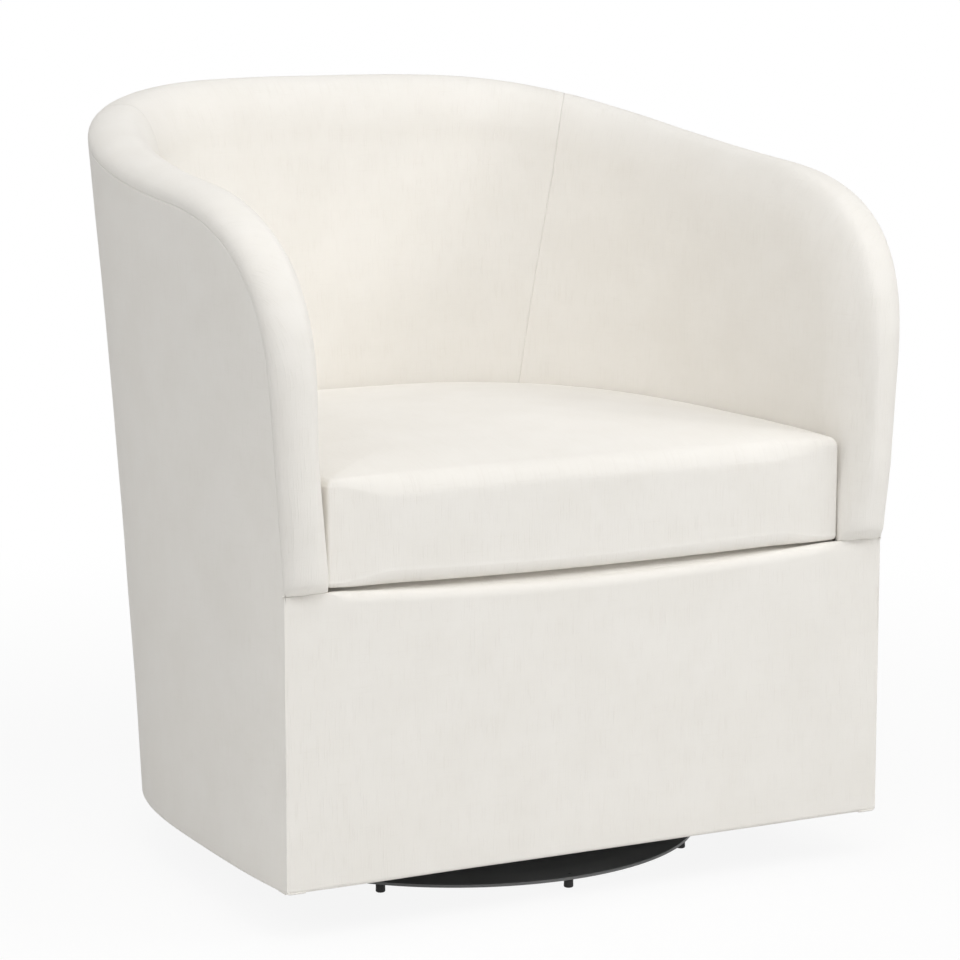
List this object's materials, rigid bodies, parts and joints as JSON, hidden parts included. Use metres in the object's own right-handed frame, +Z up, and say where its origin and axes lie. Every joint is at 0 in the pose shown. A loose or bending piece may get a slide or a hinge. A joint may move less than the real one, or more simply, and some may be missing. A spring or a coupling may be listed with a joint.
{
  "type": "swivel barrel chair",
  "caption": "Upholstered barrel armchair: a wrapped tub with a padded rim roll and a loose crowned seat cushion, turning on a ball bearing above a dark metal disc on rubber feet.",
  "frame": {"origin": "On the floor, under the centre of the chair's overall box", "axes": "+Z up. The chair faces -Y, so its back is towards +Y. +X is on the right of a viewer who faces the seat's front"},
  "size_m": [0.7332, 0.6966, 0.8032],
  "materials": {
    "linen": "ivory woven linen look, matt, with fine slubs",
    "charcoal_metal": "charcoal powder coat, satin",
    "foot_rubber": "matt black",
    "bare_steel": "zinc plated, satin",
    "spring_steel": "oiled wire",
    "frame_wood": "planed, bare",
    "plywood": "birch plywood, bare",
    "liner_board": "pressed board, matt",
    "foam": "open foam, matt",
    "felt": "grey felt, matt",
    "black_cloth": "thin black dust cloth"
  },
  "bodies": {
    "base": {"base_disc": "charcoal_metal", "rubber_feet": "foot_rubber", "lower_race": "bare_steel", "spindle": "bare_steel", "race_rivets": "bare_steel"},
    "bearing_cage": {"ball_cage": "bare_steel", "bearing_balls": "bare_steel"},
    "tub": {"upper_race": "bare_steel", "swivel_plate": "bare_steel", "swivel_bolts": "bare_steel", "cross_rail_front": "frame_wood", "cross_rail_back": "frame_wood", "bottom_front_rail": "frame_wood", "bottom_left_rail": "plywood", "bottom_right_rail": "plywood", "bottom_back_rail": "plywood", "corner_blocks": "frame_wood", "front_post_left": "frame_wood", "front_post_right": "frame_wood", "side_post_left": "frame_wood", "side_post_right": "frame_wood", "back_post_left": "frame_wood", "back_post_right": "frame_wood", "seat_front_rail": "frame_wood", "seat_left_rail": "plywood", "seat_right_rail": "plywood", "seat_back_rail": "plywood", "arm_frame_left": "plywood", "arm_frame_right": "plywood", "back_top_rail": "plywood", "seat_springs": "spring_steel", "spring_clips": "spring_steel", "tie_wires": "spring_steel", "inside_board_left": "liner_board", "inside_board_right": "liner_board", "inside_board_back": "liner_board", "arm_pad_left": "foam", "arm_pad_right": "foam", "back_pad": "foam", "rim_roll": "foam", "deck_pad": "felt", "front_edge_pad": "foam", "deck_cloth": "linen", "inside_left_cover": "linen", "inside_right_cover": "linen", "inside_back_cover": "linen", "outside_left_cover": "linen", "outside_right_cover": "linen", "outside_back_cover": "linen", "front_panel_cover": "linen", "dust_cover": "black_cloth"},
    "seat_cushion": {"cushion_core": "foam", "cushion_top": "linen", "cushion_boxing": "linen", "cushion_bottom": "linen"}
  },
  "joints": [
    {"name": "swivel", "type": "hinge", "parent": "base", "child": "tub", "pos_m": [0, -0.02205, 0.05], "axis": [0, 0, 1], "continuous": true},
    {"name": "cage_orbit", "type": "hinge", "parent": "base", "child": "bearing_cage", "pos_m": [0, -0.02205, 0.0441], "axis": [0, 0, 1], "continuous": true},
    {"name": "cushion_lift", "type": "slide", "parent": "tub", "child": "seat_cushion", "axis": [0, 0, 1], "range_m": [0, 0.4]}
  ],
  "couplings": [
    {"joint": "cage_orbit", "follows": "swivel", "ratio": 0.5}
  ]
}
